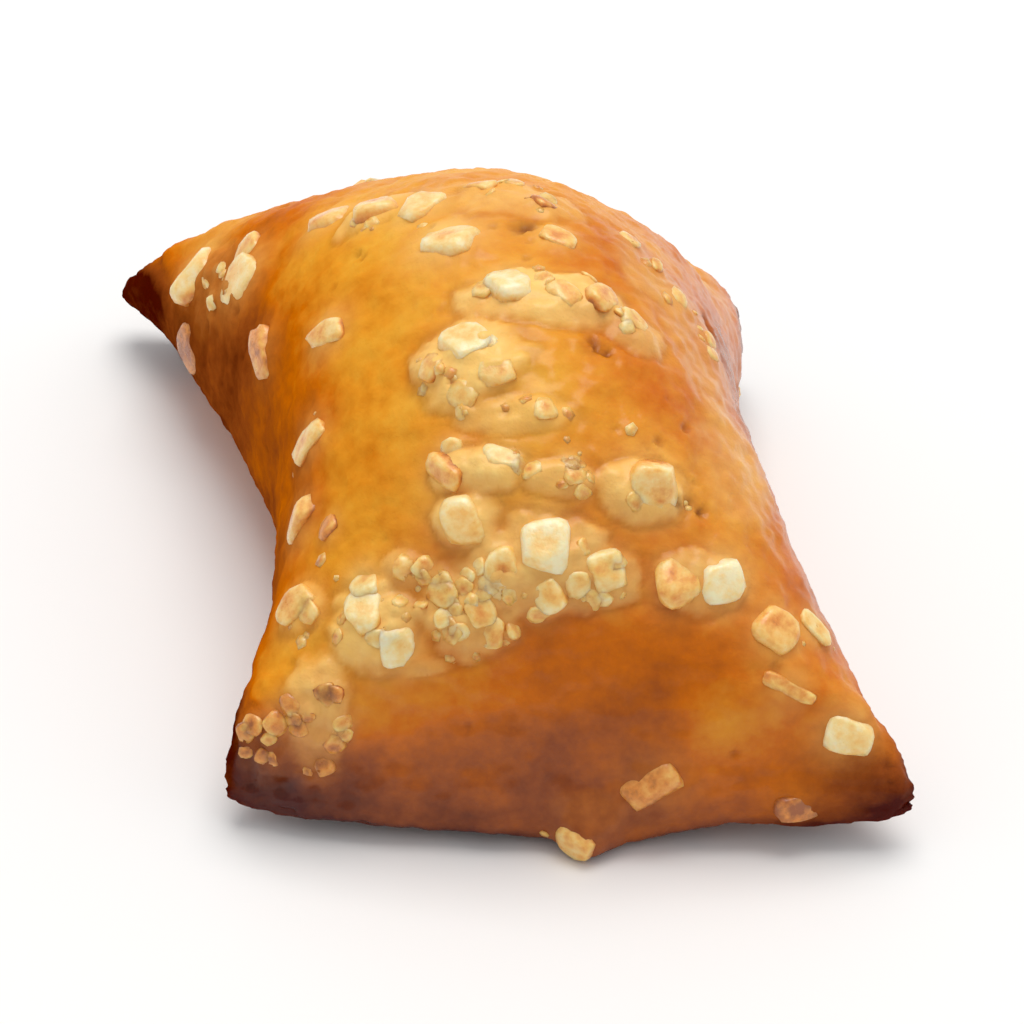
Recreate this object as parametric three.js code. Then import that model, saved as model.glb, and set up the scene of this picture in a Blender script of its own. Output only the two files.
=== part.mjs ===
// A filled pretzel nugget: a short tube of dough cut off and pinched shut at both ends, so that
// it puffs into a pillow with four flared corners, a waist and a domed crown.
//
// Millimetres, +Z up. X runs across the nugget, Y along it from the near pinched end (-Y)
// to the far one (+Y), and the nugget rests on a small flat spot at Z = 0.

import * as THREE from 'three';

const { smoothstep } = THREE.MathUtils;

// ---- Driving dimensions ----------------------------------------------------------------

const CROWN_HEIGHT = 13.1; // resting face to the top of the dome
const WIDEST_LEVEL = 4.1; // height of the widest line round the middle
const SEAM_THICKNESS = 1.5; // dough left where an end is pinched
const SEAM_LIP = 0.2; // rounding of the dough beyond a pinch
const SEAM_LIFT = 0.5; // how far the middle of a pinched edge stands off the floor
const FLAT_SPOT_DEPTH = 0.15; // how much of the belly is flattened by its own weight

const WAIST_WIDTH = 14.5; // flank to flank at the narrowest
const WAIST_SHIFT = 0.4; // how far the middle sits to the right
const SEAM_FROM_CENTRE = 12.65; // centre of the nugget to the middle of either pinch line

// The four corners: across (x) and along (y) from the centre, and their height off the floor.
const CORNERS = {
  near: {
    left: { x: -8.6, y: -11.75, lift: 0.9 },
    right: { x: 11.6, y: -12.55, lift: 0.7 },
  },
  far: {
    left: { x: -11.2, y: 13.55, lift: 0.8 },
    right: { x: 8.3, y: 11.15, lift: 1.0 },
  },
};

const CROWN_LEAN_ACROSS = -0.3; // the top of the dome leans a little to the left
const CROWN_LEAN_ALONG = -1.3; // and more towards the near end
const CORNER_ROUNDING = 0.4; // how far a corner's tip is worn back

// ---- Curve strengths, without units ----------------------------------------------------

const WAIST_STATION = -0.06; // the narrowest place, between the near pinch at -1 and the far at 1
const FLARE_POWER = 1.7; // how late the flanks swing out to the corners
const RISE_POWER = 2.2; // how far the crown stays level before it falls to a pinch
const RISE_STEEPNESS = 0.58; // near 0.5 the dome falls to a pinch as a quarter circle does
const CROWN_ROUNDNESS = 2.1; // section over the middle, where 2 is an ellipse
const SHOULDER_ROUNDNESS = 1.65; // more peaked where the dome falls to the ends
const SEAM_ROUNDNESS = 2.6; // blunter section in the pinched edge
const BELLY_ROUNDNESS = 3; // above 2, flatter below with fuller sides

// ---- Mesh fineness ---------------------------------------------------------------------

const RINGS_ALONG = 45;
const POINTS_ROUND = 72;
const LIP_RINGS = 3;

// ---- Shape of the body -----------------------------------------------------------------

/** Blends from a to b as t goes from 0 to 1. */
function mix(a, b, t) {
  return a + (b - a) * t;
}

/** Where the centre line of the body runs across, as one smooth bend through the waist. */
function centreLine(along) {
  const near = (CORNERS.near.left.x + CORNERS.near.right.x) / 2;
  const far = (CORNERS.far.left.x + CORNERS.far.right.x) / 2;
  const slope = (far - near) / 2;
  const bend = (far + near) / 2 - WAIST_SHIFT;
  return WAIST_SHIFT + slope * along + bend * along ** 2;
}

/** 0 at the waist and 1 at either pinch. */
function awayFromWaist(along) {
  const reach = along < WAIST_STATION ? 1 + WAIST_STATION : 1 - WAIST_STATION;
  return Math.abs(along - WAIST_STATION) / reach;
}

/**
 * A point of the skin. along goes from -1 at the near pinch to 1 at the far one, and angle
 * goes round the section from the right flank over the crown.
 */
function skinPoint(along, angle) {
  const sign = along < 0 ? -1 : 1;
  const corners = along < 0 ? CORNERS.near : CORNERS.far;
  const toEnd = Math.abs(along);
  const cos = Math.cos(angle);
  const sin = Math.sin(angle);
  const corner = cos < 0 ? corners.left : corners.right;
  const isTop = sin >= 0;

  // Where the point sits in its section: 0 to 1 from the centre line to a flank, and upwards.
  const shoulder = mix(CROWN_ROUNDNESS, SHOULDER_ROUNDNESS, smoothstep(toEnd, 0, 0.75));
  const domeRoundness = mix(shoulder, SEAM_ROUNDNESS, smoothstep(toEnd, 0.8, 1));
  const roundness = isTop ? domeRoundness : BELLY_ROUNDNESS;
  const aside = Math.abs(cos) ** (2 / roundness);
  const rise = Math.abs(sin) ** (2 / roundness);

  // The section's own size at this station.
  const seamHalfWidth = (corners.right.x - corners.left.x) / 2;
  const flare = awayFromWaist(along) ** FLARE_POWER;
  const halfWidth = mix(WAIST_WIDTH / 2, seamHalfWidth, flare);
  const fullness = (1 - toEnd ** RISE_POWER) ** RISE_STEEPNESS;
  const top = mix(SEAM_THICKNESS, CROWN_HEIGHT, fullness);
  const widest = mix(SEAM_THICKNESS / 2, WIDEST_LEVEL, fullness);

  const point = new THREE.Vector3(
    centreLine(along) + Math.sign(cos) * aside * halfWidth,
    along * SEAM_FROM_CENTRE,
    isTop ? mix(widest, top, rise) : widest * (1 - rise),
  );

  // The pinch line runs from corner to corner and each corner turns up off the floor.
  const cornerSetback = corner.y - sign * SEAM_FROM_CENTRE;
  point.y += toEnd ** 2 * cornerSetback * aside ** 1.5;
  point.y -= sign * toEnd ** 6 * CORNER_ROUNDING * aside ** 10;
  point.z += toEnd ** 3 * mix(SEAM_LIFT, corner.lift, aside ** 2.5);

  // The dome leans over the belly.
  const lean = (1 - toEnd ** 2) * (point.z / CROWN_HEIGHT);
  point.x += lean * CROWN_LEAN_ACROSS;
  point.y += lean * CROWN_LEAN_ALONG;
  return point;
}

/** One closed ring of skin points at a station along the body. */
function skinRing(along) {
  return Array.from({ length: POINTS_ROUND }, (_, i) => {
    return skinPoint(along, (i / POINTS_ROUND) * 2 * Math.PI);
  });
}

/** The rings that round off a pinched edge, from the pinch line outwards. */
function lipRings(sign) {
  const pinch = skinRing(sign);
  const floors = pinch.map((_, i) => pinch[(POINTS_ROUND - i) % POINTS_ROUND]);
  return Array.from({ length: LIP_RINGS }, (_, ring) => {
    const turn = ((ring + 1) / (LIP_RINGS + 0.4)) * (Math.PI / 2);
    return pinch.map((point, i) => {
      const middle = (point.z + floors[i].z) / 2;
      return new THREE.Vector3(
        point.x - Math.sign(point.x) * SEAM_LIP * (1 - Math.cos(turn)),
        point.y + sign * SEAM_LIP * Math.sin(turn),
        mix(middle, point.z, Math.cos(turn)),
      );
    });
  });
}

/** All the rings from the near edge to the far one, closer together towards the pinches. */
function bodyRings() {
  const stations = Array.from({ length: RINGS_ALONG }, (_, i) => {
    const even = mix(-1, 1, i / (RINGS_ALONG - 1));
    return mix(even, Math.sin((even * Math.PI) / 2), 0.6);
  });
  return [...lipRings(-1).reverse(), ...stations.map(skinRing), ...lipRings(1)];
}

// ---- Mesh ------------------------------------------------------------------------------

/** Triangles that join ring after ring, with their faces outwards. */
function sideTriangles(ringCount) {
  const triangles = [];
  for (let ring = 0; ring < ringCount - 1; ring += 1) {
    for (let i = 0; i < POINTS_ROUND; i += 1) {
      const next = (i + 1) % POINTS_ROUND;
      const here = ring * POINTS_ROUND;
      const beyond = here + POINTS_ROUND;
      triangles.push(here + i, beyond + i, beyond + next);
      triangles.push(here + i, beyond + next, here + next);
    }
  }
  return triangles;
}

/** Triangles that close a ring by a strip from its upper half to its lower half. */
function capTriangles(ring, sign) {
  const first = ring * POINTS_ROUND;
  const half = POINTS_ROUND / 2;
  const triangles = [];
  const add = (a, b, c) => triangles.push(...(sign < 0 ? [a, b, c] : [a, c, b]));
  for (let i = 0; i < half; i += 1) {
    const above = first + i;
    const aboveNext = first + i + 1;
    const below = first + ((POINTS_ROUND - i) % POINTS_ROUND);
    const belowNext = first + POINTS_ROUND - i - 1;
    if (i > 0) {
      add(belowNext, below, above);
    }
    if (i < half - 1) {
      add(belowNext, above, aboveNext);
    }
  }
  return triangles;
}

function nuggetGeometry() {
  const rings = bodyRings();
  const points = rings.flat().map((point) => {
    point.z = Math.max(0, point.z - FLAT_SPOT_DEPTH);
    return point;
  });
  const geometry = new THREE.BufferGeometry().setFromPoints(points);
  geometry.setIndex([
    ...sideTriangles(rings.length),
    ...capTriangles(0, -1),
    ...capTriangles(rings.length - 1, 1),
  ]);

  // The origin is the middle of the footprint.
  geometry.computeBoundingBox();
  const middle = geometry.boundingBox.getCenter(new THREE.Vector3());
  geometry.translate(-middle.x, -middle.y, 0);
  geometry.computeVertexNormals();
  return geometry;
}

function nugget() {
  const crust = new THREE.MeshStandardMaterial({ color: 0xc8822c, roughness: 0.38, metalness: 0 });
  const mesh = new THREE.Mesh(nuggetGeometry(), crust);
  mesh.name = 'nugget';
  return mesh;
}

const part = new THREE.Group();
part.add(nugget());

export default part;
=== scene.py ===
"""A filled pretzel nugget: a pillow of glazed, baked dough with coarse salt grains on its crust.

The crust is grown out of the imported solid: it is remeshed finely and its skin is pushed in and out
along its normals for wrinkles, pores, blisters and crimped ends. The salt grains are small faceted
crystals, sunk a little into that crust. Everything is shaped in millimetres and scaled to metres
last.
"""

import math
import random

import bmesh
import bpy
import numpy as np
from mathutils import Matrix, Vector, noise
from mathutils.bvhtree import BVHTree


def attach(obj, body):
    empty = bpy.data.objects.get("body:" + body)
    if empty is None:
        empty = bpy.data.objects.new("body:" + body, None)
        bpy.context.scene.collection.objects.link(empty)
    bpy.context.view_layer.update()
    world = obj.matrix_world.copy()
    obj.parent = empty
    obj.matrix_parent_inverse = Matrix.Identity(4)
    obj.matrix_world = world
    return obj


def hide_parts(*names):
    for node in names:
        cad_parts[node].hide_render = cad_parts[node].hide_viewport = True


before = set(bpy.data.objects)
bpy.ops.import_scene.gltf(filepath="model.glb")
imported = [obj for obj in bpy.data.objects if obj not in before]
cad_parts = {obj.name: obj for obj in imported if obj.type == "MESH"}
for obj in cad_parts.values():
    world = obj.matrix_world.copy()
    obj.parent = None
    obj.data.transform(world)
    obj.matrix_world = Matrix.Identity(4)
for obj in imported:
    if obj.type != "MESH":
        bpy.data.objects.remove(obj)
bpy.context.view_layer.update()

MM = 0.001
SEED = 11

# ---- Camera and light ------------------------------------------------------------------

LOOK_AT = (0.05, -3.2, 4.95)
CAMERA_DISTANCE = 219.4
CAMERA_AZIMUTH = -4.2  # degrees, from straight in front
CAMERA_ELEVATION = 35.9
CAMERA_ROLL = 2.7
TO_CAMERA = (-0.06, -0.81, 0.59)  # the way from the nugget to the camera, rounded
LENS = 259.5
SENSOR = 36.0
CLIP_START = 0.005  # metres

KEY_PLACE = (20, 100, 420)
KEY_SIZE = 300
KEY_POWER = 1.15
KEY_COLOUR = (1.0, 0.98, 0.96)
KEY_AIM = (0, 0, 5)

# The sky is brighter towards one side than away from it.
SKY_WAY = (0.3, 0.6, 0.7)
SKY_COLOUR = (0.97, 0.98, 1.0, 1)
SKY_DIM, SKY_BRIGHT = 0.42, 0.7

FLOOR_REACH = 1.5  # metres

# ---- Crust -----------------------------------------------------------------------------

VOXEL = 0.137
WELD_DISTANCE = 0.001

# Smoothing steps of the whole skin, and of the pinches, which lie low and far from the middle.
SKIN_SOFTENING = 8
PINCH_SOFTENING = 60
PINCH_FROM_MIDDLE = 8.5
PINCH_HEIGHT = 4

# Heights and depths of the relief.
BROAD_SWELL = 0.22
SKIN_RIPPLE = 0.085
SKIN_GRAIN = 0.04
CRIMP_DEPTH = 0.096
CORNER_CREASE_DEPTH = 0.10
EDGE_CREASE_DEPTH = 0.02
CRUMBLE_HEIGHT = 0.07
PORE_DEPTH = 0.11
PIT_DEPTH = 0.22
BLISTER_HEIGHT = 0.13
MOUND_RIM = 0.05
GRAIN_COLLAR = 0.16
UNDERSIDE_RELIEF = 0.06

# The fold over a pinch is filled up a little round this height.
SEAM_FILL = 0.1
SEAM_LEVEL = 1.95
SEAM_SPREAD = 0.6

CORNER_STRETCHES = (0.0, 0.45, 0.0, 0.45)  # near left, near right, far right, far left

# Shallow slots that a baking belt leaves across the belly: their middles, half size and depth.
SLOT_CENTRES = ((-0.9, -5.2), (1.0, 0.3), (-0.4, 5.6))
SLOT_HALF_WIDTH = 2.6
SLOT_HALF_LENGTH = 0.9
SLOT_DEPTH = 0.16

# How far the crown is baked, and how much more (or less) other places are from bake and painted
# shade, from 0 to 1.
CROWN_BAKE = 0.25
SIDE_BAKE = 0.26
# The left flank's extra darkening is painted shade.
LEFT_FLANK_PAINTED_SHADE = 0.16
LOW_PINCH_BAKE = 0.10
LOW_SIDE_BAKE = 0.14
CORNER_BAKE = 0.34
# The extra under the pinches is partly a browner underside, partly painted shade along the rim where
# it meets the floor.
PINCH_UNDERSIDE_BAKE_AND_SHADE = 0.18
UNDERSIDE_PALENESS = 0.4
BAKE_UNEVENNESS = 0.07

# How glossy the crown is, and what other places add to that or take from it.
CROWN_GLOSS = 0.75
LOW_FRONT_GLOSS = 0.4
RIGHT_FLANK_GLOSS = 0.8
DULL_TIPS = 0.7
DULL_BROW = 0.4
BROW_PLACE, BROW_RADIUS = (5.0, -12.0, 5.0), 3.0

# How far the near rim lifts off its level line: place across, from left to right, and lift.
RIM_WAVE = (
    (-8.6, -0.5),
    (-5.0, -0.15),
    (-1.0, -0.05),
    (1.7, -0.2),
    (3.4, -0.3),
    (4.6, 0.0),
    (6.1, 0.3),
    (8.8, 0.05),
    (11.0, 0.15),
)

# Places where the skin stands out or falls in: place, radius and height.
SWELLINGS = (
    ((-7.2, 9.0, 7.0), 3.0, 0.35),
    ((-6.9, -2.0, 4.5), 4.5, -0.2),
    ((2.0, -13.0, 0.9), 0.8, 0.75),
    ((5.2, 6.0, 8.6), 2.4, 0.25),
)

# Pits in the skin, darkened with painted shade: place on the crust and radius.
PITS = (
    ((0.3, 0.2, 12.8), 0.34),
    ((6.0, 1.1, 8.8), 0.38),
    ((6.5, -0.2, 8.1), 0.26),
    ((2.1, -5.0, 12.2), 0.24),
    ((2.5, -5.1, 12.1), 0.16),
    ((4.3, -8.8, 9.3), 0.22),
    ((4.7, -8.7, 9.2), 0.2),
    ((5.1, -8.7, 9.0), 0.16),
    ((3.7, -8.1, 10.2), 0.26),
    ((-7.9, -12.1, 1.9), 0.26),
    ((-7.0, -12.3, 1.8), 0.3),
    ((-6.0, -12.5, 1.7), 0.3),
    ((-5.0, -12.6, 1.7), 0.42),
)

# Places baked darker (or lighter) than the rest: place, radius and how much.
BAKED_SPOTS = (
    ((-5.0, -12.6, 1.0), 2.2, 0.06),
    ((-6.5, 8.1, 7.8), 2.6, 0.24),
    ((1.5, -12.0, 6.0), 3.4, 0.14),
    ((6.5, -11.4, 6.0), 2.8, 0.1),
    ((6.5, -12.9, 1.8), 3.0, -0.12),
    ((-6.0, -12.1, 3.9), 1.6, -0.12),
    ((4.0, -12.8, 3.2), 1.6, -0.08),
    ((5.8, -12.5, 4.2), 1.0, -0.28),
    ((9.5, -12.8, 2.0), 1.8, -0.1),
    ((-10.5, 10.5, 4.0), 2.6, 0.14),
    ((8.0, -9.2, 5.8), 3.0, 0.2),
    ((6.8, 0.0, 8.3), 3.4, 0.16),
    ((5.5, 4.5, 9.0), 3.0, 0.12),
    ((3.6, 0.8, 11.6), 2.4, 0.16),
    ((4.8, -5.0, 10.6), 2.6, 0.14),
    ((2.6, -4.8, 12.1), 1.8, 0.12),
    ((-7.2, 5.5, 5.5), 3.2, 0.12),
    ((-6.0, -1.5, 6.5), 4.2, -0.02),
    ((0.4, -6.6, 11.6), 2.2, -0.12),
    ((3.2, -6.2, 11.2), 1.6, 0.06),
)

# Pale mounds where glaze and fine salt have puffed the skin: place on the crust, width, length,
# rise, paleness and the count of small grains in it.
MOUNDS = (
    # crown
    ((1.1, -3.3, 12.8), 5.9, 2.4, 0.24, 1.0, 3),
    ((3.4, -3.9, 11.9), 2.6, 1.6, 0.12, 0.75, 3),
    ((-1.6, -5.5, 12.0), 3.5, 3.0, 0.34, 1.0, 3),
    ((-0.5, -7.4, 11.4), 3.8, 1.3, 0.08, 0.6, 2),
    ((-1.4, -8.5, 10.2), 3.0, 1.4, 0.2, 1.0, 2),
    ((1.0, -9.0, 10.3), 2.2, 1.1, 0.1, 0.7, 4),
    ((3.4, -8.9, 9.8), 3.0, 1.9, 0.28, 0.95, 2),
    ((-4.0, 3.4, 11.1), 3.4, 1.9, 0.12, 0.75, 2),
    ((0.2, 2.0, 12.6), 4.0, 2.4, 0.08, 0.55, 4),
    ((4.2, 0.2, 11.2), 3.6, 3.4, 0.06, 0.45, 3),
    ((5.6, -1.6, 9.8), 3.0, 5.0, 0.05, 0.3, 2),
    ((6.3, -6.2, 9.0), 2.6, 5.0, 0.0, 0.35, 0),
    # brow of the near slope
    ((0.5, -10.7, 8.4), 4.5, 2.9, 0.28, 1.0, 5),
    ((2.3, -10.7, 8.1), 2.2, 1.8, 0.16, 0.85, 3),
    ((-1.7, -9.5, 9.2), 2.0, 1.7, 0.2, 1.0, 0),
    ((-1.6, -11.1, 7.3), 2.9, 2.8, 0.14, 0.9, 12),
    ((-3.5, -10.0, 7.8), 1.7, 1.2, 0.08, 0.6, 2),
    ((-4.3, -10.8, 6.5), 2.6, 2.6, 0.26, 1.0, 5),
    ((-6.4, -9.3, 5.9), 1.9, 1.6, 0.12, 0.7, 2),
    ((4.9, -10.4, 7.7), 3.0, 1.8, 0.14, 0.85, 0),
    # near slope
    ((-3.1, -11.8, 5.7), 2.0, 0.6, 0.05, 0.55, 0),
    ((-5.9, -12.1, 3.9), 1.9, 3.8, 0.12, 0.8, 12),
    ((-7.4, -12.0, 2.9), 1.6, 2.2, 0.08, 0.3, 7),
    ((2.0, -13.1, 1.7), 2.2, 1.3, 0.0, 0.22, 0),
    # far left corner
    ((-8.8, 7.4, 5.6), 3.0, 3.4, 0.1, 0.4, 3),
    # far slope
    ((-3.6, 10.2, 6.8), 3.4, 2.4, 0.2, 0.85, 5),
    ((2.4, 9.6, 7.2), 2.8, 2.0, 0.22, 0.85, 4),
    ((-6.8, 11.6, 4.2), 2.2, 1.6, 0.1, 0.6, 3),
)

# ---- Salt ------------------------------------------------------------------------------

# Tones run from clear white salt, over grains with more and more glaze on them, to brown ones.
WHITE, CREAM, PALE, GOLD, AMBER, TAN, GLAZED = 0.0, 0.12, 0.25, 0.42, 0.6, 0.68, 0.8

# Grains set one by one: place on the crust, length, width, spin in degrees and tone.
GRAINS = (
    # far left corner
    ((-9.2, 9.0, 5.1), 1.8, 2.0, 10, PALE),
    ((-7.9, 6.0, 6.9), 1.8, 2.0, 20, PALE),
    ((-7.7, 7.1, 7.3), 1.2, 1.0, 10, GOLD),
    ((-9.4, 7.8, 3.2), 1.7, 1.4, 40, GLAZED),
    ((-7.3, 1.8, 7.2), 1.8, 1.1, 60, AMBER),
    # far rim of the crown
    ((-5.3, 4.9, 9.9), 1.7, 1.3, 0, GOLD),
    ((-3.9, 3.3, 11.3), 1.6, 1.3, 60, GOLD),
    ((-2.6, 2.4, 12.0), 1.6, 1.3, 70, PALE),
    ((-0.9, 3.0, 12.3), 1.1, 0.9, 30, GOLD),
    ((0.8, 1.5, 12.5), 0.9, 0.8, 80, AMBER),
    ((-2.0, -0.2, 12.7), 1.8, 1.6, 0, PALE),
    ((1.2, -0.3, 12.7), 1.2, 0.8, 0, GOLD),
    # left flank
    ((-5.5, -1.3, 10.0), 1.7, 0.9, -40, GOLD),
    ((-6.1, -4.2, 8.2), 1.8, 1.0, -10, GOLD),
    ((-6.4, -6.2, 6.8), 1.8, 1.1, -10, GOLD),
    ((-5.6, -7.7, 7.6), 0.9, 0.7, 0, AMBER),
    ((-6.4, -9.3, 5.9), 1.4, 1.1, 0, GOLD),
    # middle of the crown
    ((-1.6, -5.2, 12.1), 1.5, 1.4, 0, CREAM),
    ((-2.5, -5.6, 11.7), 1.0, 0.9, 40, GOLD),
    ((-0.8, -6.0, 11.9), 1.1, 0.9, 100, GOLD),
    ((-1.6, -6.5, 11.5), 1.0, 0.9, 70, GOLD),
    ((-0.3, -3.1, 12.9), 1.6, 1.4, 20, WHITE),
    ((1.2, -3.4, 12.7), 1.1, 0.8, 0, GOLD),
    ((2.2, -3.3, 12.5), 1.3, 1.0, 50, GOLD),
    ((3.2, -3.7, 12.0), 1.1, 0.8, 0, GOLD),
    ((-2.1, -8.4, 10.1), 1.4, 0.9, 90, GOLD),
    ((-0.7, -8.5, 10.3), 1.3, 0.8, 80, PALE),
    ((0.3, -8.9, 10.3), 0.7, 0.6, 0, GOLD),
    ((1.2, -8.7, 10.5), 0.8, 0.6, 90, GOLD),
    ((1.5, -9.2, 10.1), 0.7, 0.5, 40, GOLD),
    # brow of the near slope
    ((-1.7, -9.5, 9.2), 1.5, 1.3, 30, PALE),
    ((0.6, -11.1, 7.8), 1.1, 0.9, 30, PALE),
    ((1.4, -10.8, 8.1), 0.9, 0.8, 0, PALE),
    ((2.2, -10.6, 8.2), 1.4, 1.2, 10, PALE),
    ((-2.3, -10.7, 7.5), 1.0, 0.9, 80, GOLD),
    ((-1.3, -11.0, 7.2), 1.1, 0.9, 20, GOLD),
    ((-2.0, -11.3, 6.7), 0.9, 0.7, 50, GOLD),
    ((-0.9, -11.4, 6.7), 1.0, 0.8, 0, GOLD),
    ((-4.5, -10.5, 6.6), 1.5, 1.2, 60, CREAM),
    ((-3.7, -11.3, 6.1), 1.3, 1.1, 0, CREAM),
    ((-4.5, -9.9, 7.1), 1.1, 0.9, 80, PALE),
    ((-3.4, -10.0, 7.8), 0.9, 0.8, 60, GOLD),
    ((4.3, -10.6, 7.8), 1.5, 1.3, 0, GOLD),
    ((5.6, -10.3, 7.6), 1.45, 1.35, 0, WHITE),
    ((7.2, -10.8, 6.3), 1.5, 1.4, 20, GOLD),
    ((8.4, -10.0, 5.7), 1.3, 0.7, 0, PALE),
    # near slope and pinch
    ((7.6, -12.0, 5.1), 1.9, 0.5, 57, AMBER),
    ((9.4, -12.4, 3.7), 1.65, 1.15, 63, CREAM),
    ((3.8, -12.9, 2.3), 1.9, 1.2, -59, TAN),
    ((8.1, -13.0, 1.6), 1.6, 0.9, 90, GLAZED),
    ((1.3, -13.8, 0.6), 1.3, 1.0, 80, GOLD),
    # right flank
    ((7.3, -3.4, 2.6), 1.4, 1.1, 30, GOLD),
    ((7.4, 2.2, 2.2), 1.1, 0.9, 80, AMBER),
    ((7.6, 6.4, 2.0), 1.3, 1.1, 10, GOLD),
)

# Grains with a hollow worn into their middle: place, width and tone.
RING_GRAINS = (
    ((0.5, -10.3, 8.8), 1.7, WHITE),
    ((-0.7, -10.6, 8.3), 1.2, PALE),
    ((3.6, -8.8, 9.9), 1.7, PALE),
)

SMALL_GRAIN = 1.05  # shorter grains are flatter and have a coarser mesh
GRAIN_HEIGHTS = (0.55, 0.75)  # over the smaller of length and width
SMALL_GRAIN_HEIGHT = 0.7
SINK, GLAZED_SINK = 0.24, 0.28  # part of a grain's height that is sunk in the crust

# Small grains in the mounds, browner below a height.
MOUND_GRAIN_LENGTHS = (0.45, 0.85)
LOW_GRAIN_HEIGHT = 5
LOW_GRAIN_BROWNING = 0.26

# Grains scattered on the sides that face away from the camera.
BACK_TRIES = 300
BACK_FACING = -0.17
BACK_GRAIN_SPACING = 1.5
BACK_GRAIN_LENGTHS = (0.8, 1.8)

CRUMBS = 90
CRUMB_SIZES = (0.12, 0.38)

# A crystal is a ball of radius 1 cut by four sides, a top and a few bevels, then grown again.
CRYSTAL_SIDES = ((1, 0, 0), (-1, 0, 0), (0, 1, 0), (0, -1, 0))
CRYSTAL_TOP = (0, 0, 1)
SIDE_REACH, TOP_REACH, BEVEL_REACH = 0.72, 0.62, 0.8
FACET_TILT = 0.16
BEVELS = 5
BEVEL_LEAN = (0, 0, 0.4)
FACET_FLATNESS = 0.8
CRYSTAL_GROWTH = 1.18
CRYSTAL_WOBBLE = 0.06
DISH_RADIUS = 0.42
DISH_DEPTH, RING_DISH_DEPTH = 0.04, 0.2

# How much browner a crystal is in its dish, at its foot and on its facets: in the dish this is
# painted shade, at the foot partly glaze, partly painted shade.
DISH_SHADE_TONE, RING_DISH_SHADE_TONE = 0.12, 0.28
FOOT_GLAZE_AND_SHADE_TONE = 0.36
FACET_TONE = 0.25
CLOUD_TONE = 0.25

# ---- Colours, as they look in sRGB -----------------------------------------------------

CRUST_COLOURS = (
    (0.00, (238, 179, 66)),
    (0.25, (228, 149, 44)),
    (0.50, (206, 106, 2)),
    (0.75, (150, 74, 26)),
    (1.00, (78, 20, 6)),
)
PALE_CRUST = (255, 213, 128)
TOASTED_CRUST = (184, 104, 36)
# The colour of the dark marks: painted shade in pits, pores, rims and creases, and the underside's
# stains.
PIT_COLOUR = (104, 42, 6)
SALT_COLOURS = (
    (0.00, (255, 236, 190)),
    (0.25, (255, 216, 144)),
    (0.50, (250, 190, 100)),
    (0.75, (228, 144, 60)),
    (1.00, (166, 92, 40)),
)
FLOOR_COLOUR = (243, 242, 240)
FLOOR_TINT = (0.8, 0.8, 0.8, 1)


def linear(colour):
    """An sRGB colour in 0 to 255 as the linear colour with alpha that shaders take."""
    return tuple((c / 255) ** 2.2 for c in colour) + (1.0,)


def smoothstep(low, high, x):
    """0 below low, 1 above high and a smooth rise between them; high may be the lower one."""
    t = np.clip((x - low) / (high - low), 0, 1)
    return t * t * (3 - 2 * t)


# ---- Noise over many points ------------------------------------------------------------


def fractal(points, size, seed, octaves=3):
    """Smooth noise of about -1 to 1 whose lumps are size millimetres across."""
    shift = Vector((17.3 * seed, -9.1 * seed, 5.7 * seed))
    return np.array([noise.fractal(Vector(p) / size + shift, 1.0, 2.0, octaves) for p in points])


def ridges(points, size, seed):
    """Thin raised lines between wider hollows, 0 to 1."""
    return 1 - np.clip(np.abs(fractal(points, size, seed, octaves=2)) * 2.5, 0, 1)


def cells(points, size, seed):
    """Round grains packed side by side, 1 at the middle of a grain and 0 between grains."""
    shift = Vector((3.1 * seed, 7.7 * seed, -4.3 * seed))
    near = np.array([noise.voronoi(Vector(p) / size + shift)[0][0] for p in points])
    return np.clip(1 - near * 1.6, 0, 1)


# ---- Mesh helpers ----------------------------------------------------------------------


def vertex_array(mesh, what="co"):
    """The places or the normals of a mesh's vertices, one row each."""
    flat = np.empty(len(mesh.vertices) * 3)
    mesh.vertices.foreach_get(what, flat)
    return flat.reshape(-1, 3)


def add_object(name, mesh):
    piece = bpy.data.objects.new(name, mesh)
    bpy.context.scene.collection.objects.link(piece)
    return piece


def with_modifiers(piece):
    """Bakes the object's modifiers into its mesh."""
    graph = bpy.context.evaluated_depsgraph_get()
    baked = bpy.data.meshes.new_from_object(piece.evaluated_get(graph))
    piece.modifiers.clear()
    piece.data = baked
    return piece


def shade_smooth(mesh):
    mesh.polygons.foreach_set("use_smooth", np.ones(len(mesh.polygons), dtype=bool))


def search_tree(mesh, unit=1.0):
    """A search tree for places on a mesh whose coordinates are divided by unit."""
    points = [v.co / unit for v in mesh.vertices]
    return BVHTree.FromPolygons(points, [tuple(p.vertices) for p in mesh.polygons])


# ---- Crust -----------------------------------------------------------------------------


def fine_crust():
    """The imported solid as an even, fine mesh in millimetres."""
    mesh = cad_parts["nugget"].data.copy()
    mesh.transform(Matrix.Scale(1 / MM, 4))
    welded = bmesh.new()
    welded.from_mesh(mesh)
    bmesh.ops.remove_doubles(welded, verts=welded.verts, dist=WELD_DISTANCE)
    welded.to_mesh(mesh)
    welded.free()
    crust = add_object("crust", mesh)
    remesh = crust.modifiers.new("fine", "REMESH")
    remesh.mode = "VOXEL"
    remesh.voxel_size = VOXEL
    soften = crust.modifiers.new("soften", "SMOOTH")
    soften.factor = 0.5
    soften.iterations = SKIN_SOFTENING
    crust = with_modifiers(crust)

    # The pinches of baked dough are puffed shut, so their creases are nearly gone.
    pinches = crust.vertex_groups.new(name="pinches")
    points = vertex_array(crust.data)
    pinched = (np.abs(points[:, 1]) > PINCH_FROM_MIDDLE) & (points[:, 2] < PINCH_HEIGHT)
    for index in np.flatnonzero(pinched):
        pinches.add([int(index)], 1.0, "REPLACE")
    puff = crust.modifiers.new("puff", "SMOOTH")
    puff.factor = 0.5
    puff.iterations = PINCH_SOFTENING
    puff.vertex_group = "pinches"
    return with_modifiers(crust)


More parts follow.
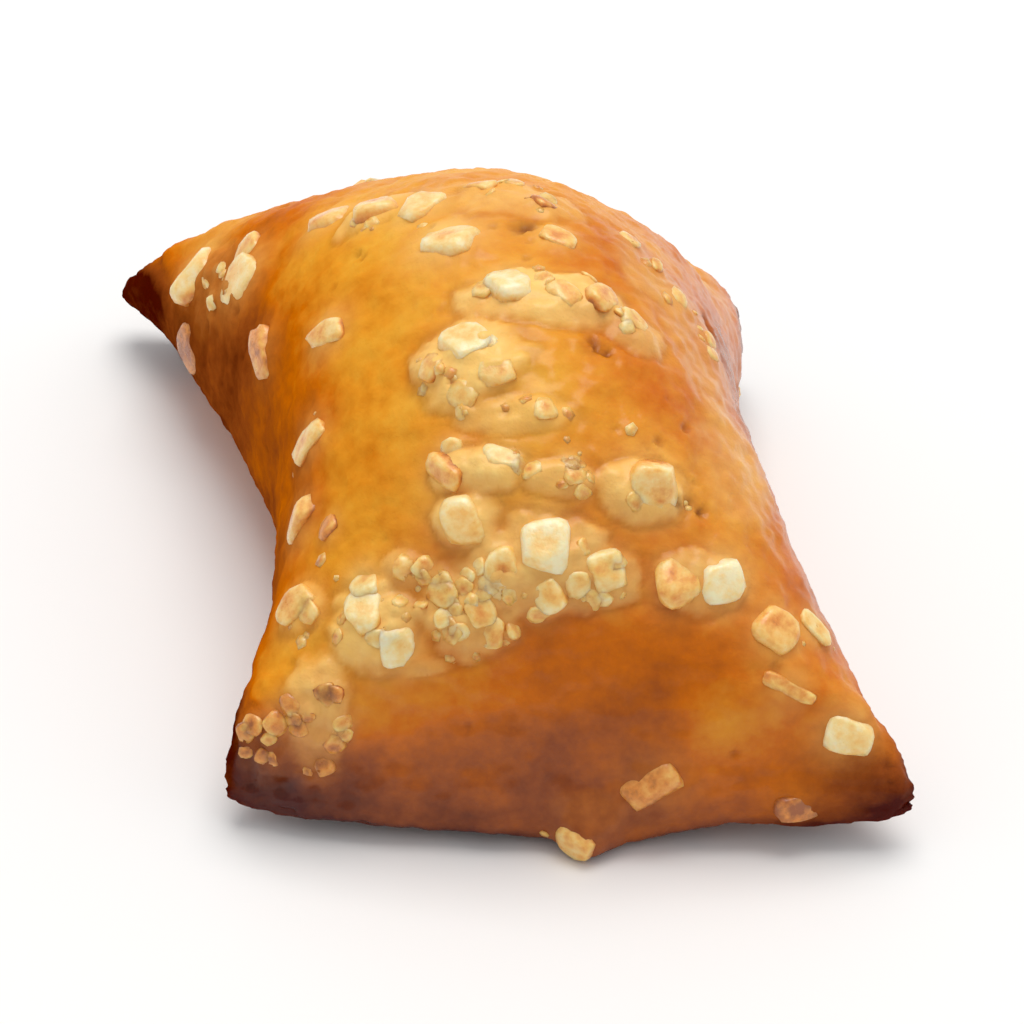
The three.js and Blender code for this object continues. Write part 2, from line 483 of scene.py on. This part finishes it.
class Places:
    """Where each vertex of the crust lies on the nugget, as numbers for masks."""

    def __init__(self, mesh):
        self.points = vertex_array(mesh)
        self.normals = vertex_array(mesh, "normal")
        self.up = self.normals[:, 2]
        self.height = self.points[:, 2]
        flat = self.points[:, :2]
        corners = [
            self.points[np.argmax(flat @ np.array(way))]
            for way in ((-1, -1), (1, -1), (1, 1), (-1, 1))
        ]
        near = self.inward(corners[0], corners[1])
        far = self.inward(corners[2], corners[3])
        self.near_end = near < far
        self.to_pinch = np.minimum(near, far)
        self.to_corners = [np.linalg.norm(self.points - corner, axis=1) for corner in corners]
        self.to_corner = np.min(self.to_corners, axis=0)
        self.under = smoothstep(-0.35, -0.8, self.up) * smoothstep(3.0, 1.5, self.height)

    def inward(self, start, end):
        """How far each vertex is inside the pinched edge that runs from start to end."""
        way = (end - start)[:2] / np.linalg.norm((end - start)[:2])
        offset = self.points[:, :2] - start[:2]
        return way[0] * offset[:, 1] - way[1] * offset[:, 0]

    def near(self, centre, radius):
        """1 at a place on the crust, falling to 0 a few radii away."""
        away = np.linalg.norm(self.points - np.array(centre), axis=1)
        return np.exp(-((away / radius) ** 2))


def pinch_folds(places):
    """The relief of the pinches, with where their creases and low edges are."""
    points = places.points
    corner = smoothstep(4.0, 0.8, places.to_corner)
    low_edge = smoothstep(2.2, 0.5, places.to_pinch) * smoothstep(4.0, 1.0, places.height)

    # Crimps run away from a pinched edge, and creases run along it.
    crimps = ridges(points * np.array((1.0, 0.25, 0.35)), size=1.0, seed=3)
    creases = ridges(points * np.array((0.22, 1.0, 1.6)), size=0.8, seed=4)
    crumble = cells(points, size=0.32, seed=5)
    folds = -CRIMP_DEPTH * crimps * corner
    folds -= (CORNER_CREASE_DEPTH * corner + EDGE_CREASE_DEPTH) * creases * low_edge
    folds += CRUMBLE_HEIGHT * (crumble - 0.5) * np.maximum(corner, 0.5 * low_edge)
    return folds, creases, low_edge


def pores_and_pits(places):
    """Small pores all over, 0 to 1, and the larger dark pits with jagged edges."""
    points = places.points
    pores = smoothstep(0.6, 0.85, cells(points, size=1.0, seed=6))
    pores *= smoothstep(0.15, 0.5, fractal(points, size=3.0, seed=7))
    pits = np.zeros(len(points))
    jag = 1 + 0.7 * fractal(points, size=0.35, seed=13, octaves=2)
    for centre, radius in PITS:
        pits = np.maximum(pits, places.near(centre, radius * jag))
    return pores, pits


def salted_mounds(points):
    """How far the pale mounds rise, how pale they are, and the thin sunk rims round them."""
    mounds, patches, rims = np.zeros((3, len(points)))
    ragged = 0.22 * fractal(points, size=0.8, seed=8)
    for centre, width, length, rise, paleness, _count in MOUNDS:
        away = (points - np.array(centre)) / (np.array((width, length, length)) / 2)
        away = np.linalg.norm(away, axis=1) + ragged
        mounds = np.maximum(mounds, rise * smoothstep(1.15, 0.3, away))
        inside = 0.8 * smoothstep(1.2, 0.8, away) + 0.2 * smoothstep(0.9, 0.2, away)
        patches = np.maximum(patches, paleness * inside)
        rims = np.maximum(rims, paleness * np.exp(-(((away - 1.12) / 0.12) ** 2)))
    return mounds, patches, rims


def grain_collars(places, grains):
    """Glaze and dough drawn up round every grain, and the paler skin there."""
    collar, halo = np.zeros((2, len(places.points)))
    for centre, length, width, _spin, tone in grains:
        collar = np.maximum(collar, places.near(centre, 0.32 * (length + width)))
        halo = np.maximum(halo, places.near(centre, 0.34 * (length + width)) * (0.9 - tone))
    return collar, halo


def belt_marks(points):
    """The slots across the belly, 1 inside them and 0 outside."""
    marks = np.zeros(len(points))
    for x, y in SLOT_CENTRES:
        across = np.abs(points[:, 0] - x) / SLOT_HALF_WIDTH
        along = np.abs(points[:, 1] - y) / SLOT_HALF_LENGTH
        marks = np.maximum(marks, smoothstep(1.2, 0.6, np.hypot(across**2, along)))
    return marks


def crust_relief(places, grains):
    """How far the skin is pushed out, in millimetres, and how pale and how dark it is there."""
    points = places.points
    top = 1 - places.under
    pinch = smoothstep(3.2, 0.4, places.to_pinch)
    swell = fractal(points, size=5.5, seed=1, octaves=2) * BROAD_SWELL * (1 - 0.6 * pinch)
    for centre, radius, height in SWELLINGS:
        swell += height * places.near(centre, radius)
    ripple = fractal(points, size=0.9, seed=2, octaves=2) * SKIN_RIPPLE
    ripple += fractal(points, size=0.36, seed=14, octaves=2) * SKIN_GRAIN
    rough = fractal(points, size=0.55, seed=10) * UNDERSIDE_RELIEF
    grit = cells(points, size=0.42, seed=9)
    stains = smoothstep(0.2, 0.6, fractal(points, size=0.8, seed=11))

    folds, creases, low_edge = pinch_folds(places)
    pores, pits = pores_and_pits(places)
    mounds, patches, rims = salted_mounds(points)
    collar, halo = grain_collars(places, grains)
    slots = belt_marks(points)
    seam = np.exp(-(((places.height - SEAM_LEVEL) / SEAM_SPREAD) ** 2))
    seam *= smoothstep(1.5, 0.5, places.to_pinch)

    relief = (swell + ripple + folds - PORE_DEPTH * pores) * top
    relief += mounds + patches * (0.2 + 0.8 * grit) * BLISTER_HEIGHT
    relief -= MOUND_RIM * rims * (1 - patches) + PIT_DEPTH * pits
    relief += GRAIN_COLLAR * collar + SEAM_FILL * seam
    relief += (rough - SLOT_DEPTH * slots) * places.under

    pale = np.maximum(patches * (0.76 + 0.24 * grit), halo)
    pale = np.maximum(pale, slots * places.under)
    # Painted shade in the pits and pores.
    dark = np.maximum(pits, 0.35 * pores * top)
    # Painted shade in the sunk rims round the mounds.
    dark = np.maximum(dark, 0.25 * rims * (1 - patches))
    # Painted shade in the creases of the pinches on the left.
    dark = np.maximum(dark, 0.8 * creases**2 * low_edge * smoothstep(-3.0, -5.5, points[:, 0]))
    dark = np.maximum(dark, 0.55 * stains * places.under)
    return relief, pale, dark


def browning_and_painted_shade(places):
    """How far the crust is baked, with painted shade on the left flank and under the pinches, 0 for
    pale gold to 1 for nearly black corners.
    """
    side = smoothstep(0.85, 0.1, places.up)
    left = smoothstep(-0.3, -0.9, places.normals[:, 0])
    pinch = smoothstep(3.0, 0.3, places.to_pinch)
    low = smoothstep(5.5, 1.0, places.height)
    corner = smoothstep(5.0, 0.6, places.to_corner)
    # The left flank is darkened with painted shade.
    bake_and_shade = CROWN_BAKE + SIDE_BAKE * side + LEFT_FLANK_PAINTED_SHADE * left * side
    bake_and_shade += LOW_PINCH_BAKE * pinch * low + LOW_SIDE_BAKE * low * side
    bake_and_shade += CORNER_BAKE * corner**1.6
    # Under the pinches: partly a browner underside, partly painted shade along the rim.
    bake_and_shade += PINCH_UNDERSIDE_BAKE_AND_SHADE * pinch * smoothstep(0.0, -0.6, places.up)
    for centre, radius, amount in BAKED_SPOTS:
        bake_and_shade += amount * places.near(centre, radius)
    bake_and_shade += BAKE_UNEVENNESS * fractal(places.points, size=4.0, seed=12)
    return np.clip(bake_and_shade * (1 - UNDERSIDE_PALENESS * places.under * (1 - pinch)), 0, 1)


def gloss(places):
    """How glossy the crust is: dull on the left flank and brightest low on the near slope."""
    _near_left, near_right, _far_right, far_left = places.to_corners
    left = smoothstep(-0.2, -0.7, places.normals[:, 0])
    right = smoothstep(0.3, 0.9, places.normals[:, 0])
    low_front = smoothstep(6.5, 3.5, places.height) * smoothstep(-0.3, -0.8, places.normals[:, 1])
    tips = smoothstep(5.5, 2.5, np.minimum(near_right, far_left))
    brow = places.near(BROW_PLACE, BROW_RADIUS)
    shine = CROWN_GLOSS + LOW_FRONT_GLOSS * low_front + RIGHT_FLANK_GLOSS * right
    return (1 - left) * (1 - DULL_TIPS * tips) * (1 - DULL_BROW * brow) * shine


def rim_shift(places):
    """Draws the corners out and lets the near rim wave."""
    points = places.points
    stretch = np.zeros(len(points))
    for amount, away in zip(CORNER_STRETCHES, places.to_corners):
        stretch += amount * smoothstep(2.6, 0.2, away) * smoothstep(5.0, 2.5, places.height)
    outwards = points * (1, 1, 0) / np.linalg.norm(points[:, :2], axis=1)[:, None]
    rim = smoothstep(2.0, 0.6, places.to_pinch) * smoothstep(3.5, 1.0, places.height)
    stations, lifts = zip(*RIM_WAVE)
    lift = np.interp(points[:, 0], stations, lifts) * rim * places.near_end
    return stretch[:, None] * outwards + lift[:, None] * np.array((0, 0, 1))


def make_crust(grains):
    crust = fine_crust()
    mesh = crust.data
    places = Places(mesh)
    relief, pale, dark = crust_relief(places, grains)
    points = places.points + places.normals * relief[:, None] + rim_shift(places)
    points[:, 2] = np.maximum(points[:, 2], 0)
    mesh.vertices.foreach_set("co", points.ravel())
    mesh.update()
    shade_smooth(mesh)

    looks = np.column_stack([browning_and_painted_shade(places), pale, dark, np.ones(len(points))])
    crust_map = mesh.color_attributes.new("crust_map", "FLOAT_COLOR", "POINT")
    crust_map.data.foreach_set("color", looks.ravel())
    glaze = mesh.attributes.new("crust_glaze", "FLOAT", "POINT")
    glaze.data.foreach_set("value", gloss(places))
    return crust


# ---- Salt ------------------------------------------------------------------------------


def crystal(rng, length, width, height, ringed, detail):
    """Points, faces and glaze tone of one worn crystal at the origin with its top along +Z, with
    painted shade in its dish and at its foot.
    """
    body = bmesh.new()
    bmesh.ops.create_icosphere(body, subdivisions=detail, radius=1.0)
    points = np.array([v.co[:] for v in body.verts])
    faces = [[v.index for v in f.verts] for f in body.faces]
    body.free()

    facets = np.zeros(len(points))
    cuts = [(way, SIDE_REACH) for way in CRYSTAL_SIDES] + [(CRYSTAL_TOP, TOP_REACH)]
    cuts += [(None, BEVEL_REACH)] * BEVELS
    for way, reach in cuts:
        tilt = FACET_TILT if way else 1.0
        facing = np.array([rng.gauss(part, tilt) for part in way or BEVEL_LEAN])
        facing /= np.linalg.norm(facing)
        beyond = np.maximum(points @ facing - reach - rng.uniform(-0.06, 0.08), 0)
        points -= FACET_FLATNESS * beyond[:, None] * facing
        facets = np.maximum(facets, beyond)
    points *= CRYSTAL_GROWTH

    seed = rng.uniform(0, 50)
    points *= 1 + CRYSTAL_WOBBLE * fractal(points, size=0.6, seed=seed)[:, None]
    aside = np.hypot(points[:, 0], points[:, 1])
    dish = np.exp(-((aside / DISH_RADIUS) ** 2)) * smoothstep(0.0, 0.5, points[:, 2])
    glaze = CLOUD_TONE * fractal(points, size=0.8, seed=seed + 1, octaves=2)
    # Painted shade in the dish, and at the foot partly glaze drawn up from the crust, partly painted
    # shade.
    glaze += (RING_DISH_SHADE_TONE if ringed else DISH_SHADE_TONE) * dish
    glaze += FOOT_GLAZE_AND_SHADE_TONE * smoothstep(0.35, -0.35, points[:, 2])
    glaze += FACET_TONE * np.minimum(facets, 0.25)
    points[:, 2] -= (RING_DISH_DEPTH if ringed else DISH_DEPTH) * dish
    return points * np.array((length, width, height)) / 2, faces, glaze


def settle(tree, place, spin, sink):
    """The frame of a grain on the crust nearest to place, with +Z out of the crust."""
    point, normal, _face, _distance = tree.find_nearest(Vector(place))
    turn = normal.to_track_quat("Z", "X").to_matrix().to_4x4()
    spun = Matrix.Rotation(math.radians(spin), 4, "Z")
    return Matrix.Translation(point - normal * sink) @ turn @ spun


class Grains:
    """Collects crystals into one joined mesh with a tone for each point."""

    def __init__(self):
        self.points, self.faces, self.tones = [], [], []
        self.count = 0

    def add(self, shape, where, tone):
        points, faces, glaze = shape
        matrix = np.array(where)
        self.points.append(points @ matrix[:3, :3].T + matrix[:3, 3])
        self.faces += [[i + self.count for i in face] for face in faces]
        self.tones.append(np.clip(tone + glaze, 0, 1))
        self.count += len(points)

    def piece(self, name):
        mesh = bpy.data.meshes.new(name)
        mesh.from_pydata(np.concatenate(self.points).tolist(), [], self.faces)
        tone = mesh.attributes.new("grain_tone", "FLOAT", "POINT")
        tone.data.foreach_set("value", np.concatenate(self.tones))
        shade_smooth(mesh)
        return add_object(name, mesh)


def mound_grains(rng, tree):
    """The small grains in the mounds, spread over the slope that each mound is on."""
    grains = []
    for centre, width, slope_length, _rise, _paleness, count in MOUNDS:
        middle, normal, _face, _distance = tree.find_nearest(Vector(centre))
        upwards = normal.cross(Vector((1, 0, 0))).normalized()
        for _ in range(count):
            angle, reach = rng.uniform(0, math.tau), math.sqrt(rng.uniform(0.05, 1.0)) / 2
            step = upwards * (slope_length * reach * math.sin(angle))
            step.x += width * reach * math.cos(angle)
            spot = tree.find_nearest(middle + step)[0]
            length = rng.uniform(*MOUND_GRAIN_LENGTHS)
            tone = rng.choice((PALE, GOLD, GOLD)) + LOW_GRAIN_BROWNING * (spot.z < LOW_GRAIN_HEIGHT)
            spin = rng.uniform(0, 180)
            grains.append((tuple(spot), length, length * rng.uniform(0.7, 1), spin, tone))
    return grains


def back_grains(rng, tree, others):
    """Grains scattered clear of the others where the crust faces away from the camera."""
    grains = []
    for _ in range(BACK_TRIES):
        way = Vector((rng.uniform(-0.3, 1), rng.uniform(-0.2, 1), rng.uniform(0.0, 0.9)))
        aim = Vector((rng.uniform(-6, 6), rng.uniform(-9, 9), 4.0))
        point, normal, _face, _distance = tree.ray_cast(aim + way.normalized() * 40, -way)
        if point is None or point.z < rng.uniform(1.5, 6.0):
            continue
        if normal.dot(Vector(TO_CAMERA)) >= BACK_FACING:
            continue
        gaps = [(Vector(grain[0]) - point).length for grain in others + grains]
        if min(gaps) < BACK_GRAIN_SPACING:
            continue
        length = rng.uniform(*BACK_GRAIN_LENGTHS)
        tone = rng.choice((WHITE, CREAM, CREAM, PALE, PALE, GOLD, AMBER))
        width = length * rng.uniform(0.65, 0.95)
        grains.append((tuple(point), length, width, rng.uniform(0, 180), tone))
    return grains


def all_grains(rng, tree):
    """Every grain but the crumbs: place, length, width, spin and tone."""
    grains = list(GRAINS)
    grains += [(place, width, width * 0.9, 0, tone) for place, width, tone in RING_GRAINS]
    grains += mound_grains(rng, tree)
    return grains + back_grains(rng, tree, grains)


def make_salt(rng, tree, grains):
    salt = Grains()
    rings = {place for place, _width, _tone in RING_GRAINS}
    for place, length, width, spin, tone in grains:
        small = length < SMALL_GRAIN
        detail = 2 if small else 3
        height = min(length, width) * rng.uniform(*GRAIN_HEIGHTS)
        if small:
            height *= SMALL_GRAIN_HEIGHT
        shape = crystal(rng, length, width, height, place in rings, detail)
        sink = height * (SINK if tone < GOLD else GLAZED_SINK)
        salt.add(shape, settle(tree, place, spin, sink), tone)
    return salt.piece("salt_grains")


def make_crumbs(rng, tree, grains):
    """Fine salt and crumbs round the paler grains."""
    crumbs = Grains()
    spots = [grain for grain in grains if grain[4] <= GOLD]
    for _ in range(CRUMBS):
        place, length, width, _spin, tone = rng.choice(spots)
        reach = 0.45 * (length + width) * rng.uniform(0.7, 1.6)
        way = Vector([rng.gauss(0, 1) for _ in range(3)]).normalized()
        size = rng.uniform(*CRUMB_SIZES) ** 1.3 * 1.6
        shape = crystal(rng, size * 1.2, size, size * 0.7, ringed=False, detail=1)
        where = settle(tree, Vector(place) + way * reach, rng.uniform(0, 180), size * 0.12)
        crumbs.add(shape, where, tone * 0.7 + 0.2)
    return crumbs.piece("salt_crumbs")


# ---- Materials -------------------------------------------------------------------------


class Shader:
    """A material's node tree, with short calls to add nodes and join them."""

    def __init__(self, name):
        self.material = bpy.data.materials.new(name)
        self.material.use_nodes = True
        self.tree = self.material.node_tree
        self.surface = self.tree.nodes["Principled BSDF"]
        place = self.node("ShaderNodeTexCoord").outputs["Object"]
        scaled = {0: place, "Scale": 1 / MM}
        self.place = self.node("ShaderNodeVectorMath", scaled, operation="SCALE").outputs[0]

    def node(self, kind, inputs=None, **settings):
        node = self.tree.nodes.new(kind)
        for key, value in settings.items():
            setattr(node, key, value)
        for key, value in (inputs or {}).items():
            self.put(node.inputs[key], value)
        return node

    def put(self, socket, value):
        if isinstance(value, bpy.types.NodeSocket):
            self.tree.links.new(value, socket)
        else:
            socket.default_value = value

    def attribute(self, name, output):
        return self.node("ShaderNodeAttribute", attribute_name=name).outputs[output]

    def math(self, operation, a, b, clamp=False):
        node = self.node("ShaderNodeMath", {0: a, 1: b}, operation=operation, use_clamp=clamp)
        return node.outputs[0]

    def noise(self, per_mm, detail=3.0):
        """Noise from 0 to 1 with per_mm lumps in a millimetre."""
        inputs = {"Vector": self.place, "Scale": per_mm, "Detail": detail, "Roughness": 0.55}
        return self.node("ShaderNodeTexNoise", inputs).outputs["Fac"]

    def spread(self, value, low, high, to_low, to_high):
        inputs = {0: value, 1: low, 2: high, 3: to_low, 4: to_high}
        return self.node("ShaderNodeMapRange", inputs).outputs[0]

    def ramp(self, value, stops):
        node = self.node("ShaderNodeValToRGB", {"Fac": value})
        elements = node.color_ramp.elements
        while len(elements) < len(stops):
            elements.new(0.5)
        for element, (position, colour) in zip(elements, stops):
            element.position = position
            element.color = linear(colour)
        return node.outputs["Color"]

    def mix(self, factor, a, b):
        node = self.node("ShaderNodeMix", data_type="RGBA")
        self.put(node.inputs[0], factor)
        self.put(node.inputs[6], a)
        self.put(node.inputs[7], b)
        return node.outputs[2]

    def bump(self, height, distance, strength):
        inputs = {"Height": height, "Distance": distance * MM, "Strength": strength}
        return self.node("ShaderNodeBump", inputs).outputs["Normal"]

    def finish(self, sockets):
        """The material, with each named socket of its surface set or linked."""
        for name, value in sockets.items():
            self.put(self.surface.inputs[name], value)
        return self.material


def crust_material():
    shader = Shader("baked_crust")
    masks = shader.attribute("crust_map", "Color")
    glaze = shader.attribute("crust_glaze", "Fac")
    bake_and_shade, pale, dark = shader.node("ShaderNodeSeparateColor", {"Color": masks}).outputs
    mottle = shader.noise(0.45, detail=4)
    freckle = shader.noise(2.4)
    grain = shader.noise(8.0)

    bake_and_shade = shader.math("ADD", bake_and_shade, shader.spread(mottle, 0.3, 0.7, -0.11, 0.11))
    bake_and_shade = shader.math("ADD", bake_and_shade, shader.spread(freckle, 0.3, 0.7, -0.04, 0.04), clamp=True)
    colour = shader.ramp(bake_and_shade, CRUST_COLOURS)
    toasted = shader.spread(bake_and_shade, 0.3, 0.8, 0, 1)
    pale_colour = shader.mix(toasted, linear(PALE_CRUST), linear(TOASTED_CRUST))
    paleness = shader.math("MULTIPLY", pale, shader.spread(freckle, 0.3, 0.65, 0.85, 1.0))
    colour = shader.mix(paleness, colour, pale_colour)
    # Mixes in painted shade in hollows and creases, and the underside's stains.
    colour = shader.mix(shader.math("MULTIPLY", dark, 0.8), colour, linear(PIT_COLOUR))

    roughness = shader.spread(grain, 0.3, 0.7, 0.28, 0.44)
    roughness = shader.math("ADD", roughness, shader.math("MULTIPLY", pale, 0.18))
    fine_grain = shader.math("MULTIPLY", grain, 0.4)
    skin = shader.math("ADD", shader.math("MULTIPLY", freckle, 0.6), fine_grain)
    return shader.finish(
        {
            "Base Color": colour,
            "Roughness": roughness,
            "Normal": shader.bump(skin, 0.06, 0.9),
            "Specular IOR Level": 0.0,
            "Coat Weight": shader.math("MULTIPLY", glaze, 0.6),
            "Coat Roughness": 0.26,
            "Subsurface Weight": 0.05,
            "Subsurface Radius": (1.0, 0.4, 0.12),
            "Subsurface Scale": 0.8 * MM,
        }
    )


def salt_material(name):
    shader = Shader(name)
    tone = shader.attribute("grain_tone", "Fac")
    cloud = shader.noise(1.6)
    speck = shader.noise(9.0)
    stain = shader.noise(3.5, detail=4)
    tone = shader.math("ADD", tone, shader.spread(cloud, 0.3, 0.7, -0.08, 0.12))
    tone = shader.math("ADD", tone, shader.spread(stain, 0.35, 0.75, -0.1, 0.2), clamp=True)
    return shader.finish(
        {
            "Base Color": shader.ramp(tone, SALT_COLOURS),
            "Roughness": shader.spread(speck, 0.3, 0.7, 0.25, 0.5),
            "Normal": shader.bump(speck, 0.04, 0.5),
            "Coat Weight": 0.4,
            "Coat Roughness": 0.2,
            "Subsurface Weight": 0.4,
            "Subsurface Radius": (1.0, 0.7, 0.4),
            "Subsurface Scale": 0.5 * MM,
        }
    )


def floor_material():
    shader = Shader("studio_floor")
    tint = shader.spread(shader.noise(0.05), 0.3, 0.7, 0, 0.04)
    colour = shader.mix(tint, linear(FLOOR_COLOUR), FLOOR_TINT)
    return shader.finish({"Base Color": colour, "Roughness": 0.6})


# ---- Studio ----------------------------------------------------------------------------


def make_camera():
    azimuth, elevation = math.radians(CAMERA_AZIMUTH), math.radians(CAMERA_ELEVATION)
    level = math.cos(elevation)
    back = Vector((math.sin(azimuth) * level, -math.cos(azimuth) * level, math.sin(elevation)))
    lens = bpy.data.cameras.new("camera")
    lens.lens = LENS
    lens.sensor_width = SENSOR
    lens.clip_start = CLIP_START
    camera = bpy.data.objects.new("camera", lens)
    turn = back.to_track_quat("Z", "Y").to_matrix().to_4x4()
    roll = Matrix.Rotation(math.radians(CAMERA_ROLL), 4, "Z")
    place = (Vector(LOOK_AT) + back * CAMERA_DISTANCE) * MM
    camera.matrix_world = Matrix.Translation(place) @ turn @ roll
    bpy.context.scene.collection.objects.link(camera)
    bpy.context.scene.camera = camera


def make_key_light():
    light = bpy.data.lights.new("key", "AREA")
    light.shape = "SQUARE"
    light.size = KEY_SIZE * MM
    light.energy = KEY_POWER
    light.color = KEY_COLOUR
    softbox = bpy.data.objects.new("key", light)
    place = Vector(KEY_PLACE)
    turn = (place - Vector(KEY_AIM)).to_track_quat("Z", "Y").to_matrix().to_4x4()
    softbox.matrix_world = Matrix.Translation(place * MM) @ turn
    bpy.context.scene.collection.objects.link(softbox)


def make_sky():
    world = bpy.data.worlds.new("studio")
    world.use_nodes = True
    nodes, links = world.node_tree.nodes, world.node_tree.links
    towards = nodes.new("ShaderNodeVectorMath")
    towards.operation = "DOT_PRODUCT"
    towards.inputs[1].default_value = SKY_WAY
    links.new(nodes.new("ShaderNodeTexCoord").outputs["Generated"], towards.inputs[0])
    strength = nodes.new("ShaderNodeMapRange")
    strength.inputs["From Min"].default_value = -0.8
    strength.inputs["From Max"].default_value = 0.5
    strength.inputs["To Min"].default_value = SKY_DIM
    strength.inputs["To Max"].default_value = SKY_BRIGHT
    links.new(towards.outputs["Value"], strength.inputs["Value"])
    links.new(strength.outputs["Result"], nodes["Background"].inputs["Strength"])
    nodes["Background"].inputs["Color"].default_value = SKY_COLOUR
    bpy.context.scene.world = world


def make_studio():
    floor = bpy.data.meshes.new("floor")
    ways = ((-1, -1), (1, -1), (1, 1), (-1, 1))
    floor.from_pydata([(x * FLOOR_REACH, y * FLOOR_REACH, 0) for x, y in ways], [], [(0, 1, 2, 3)])
    floor.materials.append(floor_material())
    add_object("floor", floor)
    make_key_light()
    make_sky()
    bpy.context.scene.view_settings.view_transform = "Standard"


# ---- Assembly --------------------------------------------------------------------------


def main():
    rng = random.Random(SEED)
    make_camera()
    grains = all_grains(rng, search_tree(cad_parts["nugget"].data, unit=MM))
    crust = make_crust(grains)
    tree = search_tree(crust.data)
    salt = make_salt(rng, tree, grains)
    crumbs = make_crumbs(rng, tree, grains)

    crust.data.materials.clear()
    crust.data.materials.append(crust_material())
    salt.data.materials.append(salt_material("salt"))
    crumbs.data.materials.append(salt_material("salt_dust"))
    for piece in (crust, salt, crumbs):
        piece.data.transform(Matrix.Scale(MM, 4))
        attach(piece, "root")
    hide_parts("nugget")
    make_studio()


main()
